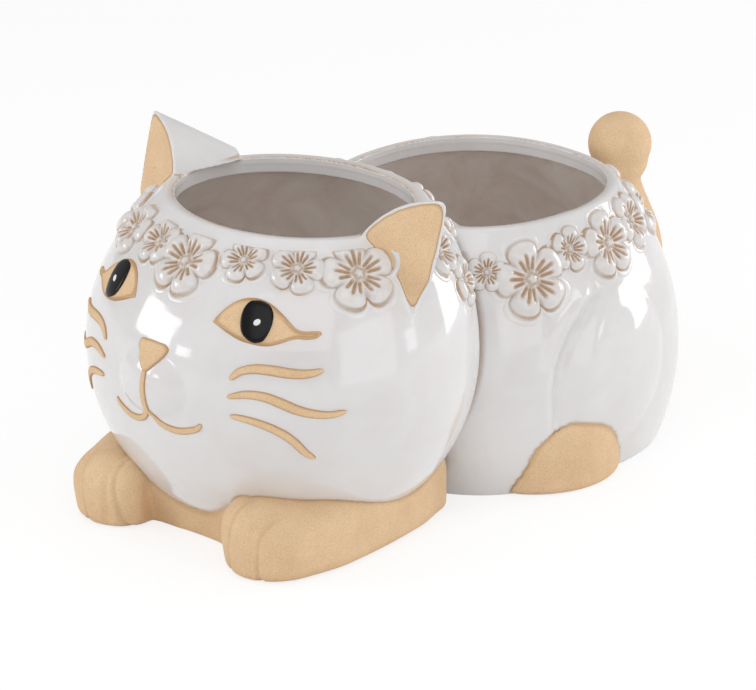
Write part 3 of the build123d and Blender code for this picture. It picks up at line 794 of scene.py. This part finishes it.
def flower_mesh(tree, axis, bearing, height, reach, turn, top, ledge):
    """One flower on a bowl's outside: rings of points cast onto the bowl and raised by the petals' form."""
    heading = Vector((sin(radians(bearing)), -cos(radians(bearing)), 0))
    start = Vector((axis.x, axis.y, height)) + heading * 0.2
    middle, normal = tree.ray_cast(start, -heading)[:2]
    if normal.dot(heading) < 0:
        normal = -normal
    east = Vector((0, 0, 1)).cross(normal).normalized()
    north = normal.cross(east)
    t = np.sin(np.linspace(0, 1, rings) * pi / 2 * 0.98) / sin(pi / 2 * 0.98)
    t = np.append(t, [1 + out for out, _ in halo])
    turns = np.linspace(0, 2 * pi, spokes, endpoint=False)
    grid_t, grid_turn = np.meshgrid(t, turns, indexing="ij")
    outline, rise, stain = petal_form(np.minimum(grid_t, 1.0), grid_turn - radians(turn))
    stain[rings + 1:] = 0
    spread = reach * outline * np.minimum(grid_t, 1)
    points = np.zeros((*grid_t.shape, 3))
    size_share = reach / flower_reach
    beside_ear = 44 < abs(bearing) < 60
    for i in range(points.shape[0]):
        outside = i - rings
        for j in range(points.shape[1]):
            away = spread[i, j] + (halo[outside][0] * reach if outside >= 0 and not beside_ear else 0)
            aim = middle + east * (away * cos(turns[j])) + north * (away * sin(turns[j]))
            aim.z = min(aim.z, top + over_rim)
            place, side = tree.ray_cast(aim + normal * 0.02, -normal, 0.05)[:2]
            if place is None:
                place, side = aim, normal
            lift = rise[i, j] * flower_rise * (0.45 + 0.55 * size_share) if outside < 0 else halo[outside][1]
            below = min(max((top - place.z) / (ledge * MM), 0), 1)
            if outside < len(halo) - 1:
                lift *= below
                if outside < 0 and 0 < below < 1 and ledge < 1:
                    stain[i, j] = max(stain[i, j], 0.8 * (1 - abs(2 * below - 1)))
            if place.z > top and outside < len(halo) - 1:
                lift = -0.3 * MM
                stain[i, j] = 0
            if outside >= 0 and beside_ear:
                lift = tucked
            points[i, j] = place + side.lerp(normal, 0.5).normalized() * lift
    return grid_mesh("flower", points, wrap=True, attributes={"tan": stain})


def wreath(name, tree, axis, rim, flowers, body, node, ledge_turn):
    """All the flowers of one pot as one piece; those in front end in a ledge below the rim."""
    meshes = []
    for bearing, drop, size, turn in flowers:
        reach = flower_reach * size
        front = abs(bearing) < ledge_turn
        top = rim - (3.2 if front else 1.0) * MM
        ledge = 0.9 if front else 1.8
        meshes.append(flower_mesh(tree, axis, bearing, rim - flower_reach * drop, reach, turn, top, ledge))
    finished(joined(meshes, name), glaze, body, "white_glaze", node)


wreath("head_flowers", head_tree, head_axis, head_rim, head_flowers, "front_pot", "head_wreath", 80)
wreath("rump_flowers", rump_tree, rump_axis, rump_rim, rump_flowers, "rear_pot", "rump_wreath", 0)


# Raised face


def on_face(x, z):
    """Where a line straight from the front meets the head, and which way the head faces there."""
    place, normal = head_tree.ray_cast(Vector((x, head_low.y - 0.1, z)), Vector((0, 1, 0)))[:2]
    return np.array(place), np.array(normal)


def raised(grid, heights):
    """Points of a grid over the face plane, each on the head and then raised by its height."""
    made = np.zeros((*heights.shape, 3))
    for i in range(heights.shape[0]):
        for j in range(heights.shape[1]):
            place, normal = on_face(*grid[i, j])
            made[i, j] = place + normal * heights[i, j]
    return made


def stroke(points, width, rise, side=1, shift=0.0):
    """A raised stroke of clay that follows a line on the face, with a flat top and rounded ends."""
    stations = 50
    line = smooth_line(points, stations)
    along = np.gradient(line, axis=0)
    along /= np.linalg.norm(along, axis=1)[:, None]
    across = np.stack((-along[:, 1], along[:, 0]), 1)
    run = np.linspace(-1, 1, stations)
    half = width / 2 * (1 - np.abs(run) ** 9) ** 0.5 * (0.8 + 0.2 * np.cos(run * 2.2))
    half = np.maximum(half, 0.05 * MM)
    steps = np.array((-1.12, -1.0, -0.93, -0.8, -0.5, 0, 0.5, 0.8, 0.93, 1.0, 1.12))
    grid = line[:, None, :] + across[:, None, :] * (half[:, None] * steps[None, :])[:, :, None]
    grid[:, :, 0] = side * grid[:, :, 0] + shift
    profile = np.where(np.abs(steps) > 1, -0.4, np.clip(1 - np.abs(steps) ** 6, 0, 1) ** 0.5)
    heights = rise * profile[None, :] * np.where(half > 0.3 * MM, 1, half / (0.3 * MM))[:, None]
    edge = np.broadcast_to(smooth_step(0.6, 0.98, np.abs(steps))[None, :], heights.shape)
    return grid_mesh("stroke", raised(grid, heights), attributes={"tan": 0.8 * edge})


def disc(centre, outline, rise, side, lift=0.0, ring_count=12, shape=2.0, shift=0.0):
    """A raised patch of the face inside an outline, which is given as points round its centre."""
    turns = len(outline)
    shares = np.append(np.linspace(0.001, 1, ring_count), 1.03)
    grid = np.array(centre) + shares[:, None, None] * np.array(outline)[None, :, :]
    grid[:, :, 0] = side * grid[:, :, 0] + shift
    heights = lift + rise * np.clip(1 - shares**shape, 0, 1) ** 0.5
    heights[-1] = lift * 0.4 - 0.3 * MM
    heights = np.broadcast_to(heights[:, None], (len(shares), turns))
    edge = np.broadcast_to(smooth_step(0.8, 1.0, shares)[:, None], heights.shape)
    return grid_mesh("disc", raised(grid, heights), wrap=True, attributes={"tan": 0.8 * edge})


def eye(side):
    """An almond of clay with a raised tan line round it."""
    columns, rows = 60, 17
    upper = smooth_line(eye_upper, 200)
    lower = smooth_line(eye_lower, 200)
    x = 0.5 - 0.5 * np.cos(np.linspace(0, pi, columns))
    high = np.interp(x, upper[:, 0], upper[:, 1])
    low = np.interp(x, lower[:, 0], lower[:, 1])
    v = np.concatenate(((-0.06,), np.linspace(0, 1, rows), (1.06,)))
    grid = np.zeros((columns, len(v), 2))
    grid[:, :, 0] = side * (eye_inner_x + eye_length * x)[:, None] + face_lean
    grid[:, :, 1] = eye_base + eye_height * (low[:, None] + (high - low)[:, None] * v[None, :])
    gap = np.maximum(eye_height * (high - low), 0.1 * MM)
    border = np.minimum(v, 1 - v)[None, :] * gap[:, None]
    ends = np.minimum(x, 1 - x)[:, None] * eye_length * 0.6
    border = np.minimum(border, np.maximum(ends, 0))
    lip = np.exp(-(((border - 0.9 * MM) / (0.5 * MM)) ** 2))
    heights = 0.5 * MM * smooth_step(0, 0.5 * MM, border) + 0.4 * MM * lip
    heights[:, (0, -1)] = -0.4 * MM
    stain = np.maximum(0.75 * lip, smooth_step(0.4 * MM, 0, border))
    return grid_mesh("eye", raised(grid, heights), attributes={"tan": 0.9 * stain})


def round_outline(half_width, half_height, count=40, power=2.3):
    """Points of an oval, a little squared."""
    turns = np.linspace(0, 2 * pi, count, endpoint=False)
    x = np.sign(np.cos(turns)) * np.abs(np.cos(turns)) ** (2 / power) * half_width
    z = np.sign(np.sin(turns)) * np.abs(np.sin(turns)) ** (2 / power) * half_height
    return np.stack((x, z), 1)


for side, name in ((1, "left"), (-1, "right")):
    finished(joined([eye(side)], f"{name}_eye_skin"), clay, "front_pot", "bare_clay", f"{name}_eye")
    strokes = []
    for line, width in zip(whisker_lines, whisker_strokes):
        strokes.append(stroke([(x * MM, z * MM) for x, z in line], width, 0.7 * MM, side, face_lean))
    finished(joined(strokes, f"{name}_whisker_skin"), clay, "front_pot", "bare_clay", f"{name}_whiskers")
    outline = smooth_line((*pupil_corners, *pupil_corners[:2]), 121)[:110] * MM
    pupil = disc(pupil_middle, outline, 0.45 * MM, side, 1.0 * MM, shift=face_lean)
    finished(joined([pupil], f"{name}_pupil_skin"), black, "front_pot", "black_enamel", f"{name}_pupil")
    # Painted highlight: a white glint dot on the pupil
    place = np.array(pupil_middle) + np.array(glint_offset)
    dot = round_outline(glint_radius, glint_radius, 24, 2)
    glint = disc(place, dot, 0.25 * MM, side, 1.4 * MM, 6, shift=face_lean)
    finished(joined([glint], f"{name}_glint_skin"), painted_glint_white, "front_pot", "white_enamel", f"{name}_glint")

nose_line = smooth_line((*nose_corners, *nose_corners[:2]), 145)[:128:2]
nose_outline = nose_line * np.array((nose_half_width, nose_height * 0.62)) - np.array((0, nose_height * 0.12))
nose_middle = (0, nose_base + nose_height * 0.5)
nose = disc(nose_middle, nose_outline, 1.5 * MM, 1, ring_count=14, shape=3)
finished(joined([nose], "nose_skin"), clay, "front_pot", "bare_clay", "nose")
mouth_lines = [((0, nose_base + nose_height * 0.3), (0, mouth_z + 4 * MM), (0, mouth_z - 1 * MM))]
for side in (-1, 1):
    mouth_lines.append((
        (0, mouth_z + 1.5 * MM),
        (side * 0.2 * mouth_half_width + 0.2 * mouth_lean, mouth_z - 0.75 * mouth_dip),
        (side * 0.52 * mouth_half_width + 0.6 * mouth_lean, mouth_z - 1.05 * mouth_dip),
        (side * 0.85 * mouth_half_width + mouth_lean, mouth_z - 0.6 * mouth_dip),
        (side * mouth_half_width + mouth_lean, mouth_z + 0.1 * MM),
    ))
mouth = joined([stroke(line, mouth_stroke, 0.6 * MM) for line in mouth_lines], "mouth_skin")
finished(mouth, clay, "front_pot", "bare_clay", "mouth")

# Camera, light and floor

camera_azimuth = radians(44)
camera_elevation = radians(20.5)
camera_distance = 3.0
photo_width = 756
photo_height = 690
pixels_per_metre = 2500
head_foot_pixel = (283, 505)

right = Vector((cos(camera_azimuth), sin(camera_azimuth), 0))
back = Vector((
    sin(camera_azimuth) * cos(camera_elevation),
    -cos(camera_azimuth) * cos(camera_elevation),
    sin(camera_elevation),
))
up = back.cross(right)
aim = head_axis.copy()
aim += right * (photo_width / 2 - head_foot_pixel[0]) / pixels_per_metre
aim += up * (head_foot_pixel[1] - photo_height / 2) / pixels_per_metre
camera_data = bpy.data.cameras.new("camera")
camera_data.sensor_width = 36
camera_data.lens = pixels_per_metre * camera_distance * camera_data.sensor_width / photo_width
camera_data.clip_end = 20
camera = linked("camera", camera_data)
camera.location = aim + back * camera_distance
camera.rotation_euler = (-back).to_track_quat("-Z", "Y").to_euler()
bpy.context.scene.camera = camera


def softbox(name, place, target, width, height, power):
    """A large soft area lamp."""
    data = bpy.data.lights.new(name, "AREA")
    data.shape = "RECTANGLE"
    data.size = width
    data.size_y = height
    data.energy = power
    lamp = linked(name, data)
    lamp.location = place
    lamp.rotation_euler = (target - place).to_track_quat("-Z", "Y").to_euler()


middle = Vector((0, 0, 0.06))


def towards(azimuth, elevation, distance):
    """A place in the studio, by its bearing from the front, its elevation and its distance."""
    turn, rise = radians(azimuth), radians(elevation)
    return middle + distance * Vector((sin(turn) * cos(rise), -cos(turn) * cos(rise), sin(rise)))


softbox("left_box", towards(-41, 16, 1.2), middle, 0.5, 0.34, 2.9)
softbox("left_low_box", towards(-21, 10, 1.2), middle, 0.16, 0.12, 0.3)
softbox("right_box", towards(82, 14, 1.2), middle, 0.8, 0.7, 2.1)
softbox("side_box", towards(113, 9, 1.2), middle, 0.2, 0.24, 0.35)
softbox("back_box", towards(158, 10, 1.2), middle, 0.45, 0.7, 4.6)
softbox("front_box", towards(34, 38, 1.5), middle, 1.2, 0.9, 3.6)
softbox("top_box", towards(0, 89, 1.4), middle, 1.2, 1.2, 3.6)

world = bpy.data.worlds.new("studio")
world.use_nodes = True
sky = world.node_tree.nodes["Background"]
sky.inputs["Color"].default_value = (1, 1, 1, 1)
sky.inputs["Strength"].default_value = 0.46
bpy.context.scene.world = world

# The floor is seen nearly white, as in the photo, and still takes the object's shadow
floor_glow_share = 0.7
floor_glow = 1.1
floor_mesh = bpy.data.meshes.new("floor")
floor_mesh.from_pydata([(-8, -8, 0), (8, -8, 0), (8, 8, 0), (-8, 8, 0)], [], [(0, 1, 2, 3)])
floor = linked("floor", floor_mesh)
n = Nodes("pale_floor")
path = n.add("ShaderNodeLightPath")
diffuse = n.add("ShaderNodeBsdfDiffuse")
diffuse.inputs["Color"].default_value = (0.9, 0.9, 0.9, 1)
glow = n.add("ShaderNodeEmission")
glow.inputs["Color"].default_value = (1, 1, 1, 1)
glow.inputs["Strength"].default_value = floor_glow
blend = n.add("ShaderNodeMixShader")
seen = n.maths("MAXIMUM", path.outputs["Is Camera Ray"], path.outputs["Is Glossy Ray"])
n.join(n.maths("MULTIPLY", seen, floor_glow_share), blend.inputs[0])
n.join(diffuse.outputs[0], blend.inputs[1])
n.join(glow.outputs[0], blend.inputs[2])
n.join(blend.outputs[0], n.output.inputs["Surface"])
floor_mesh.materials.append(n.material)

bpy.context.scene.view_settings.view_transform = "Standard"
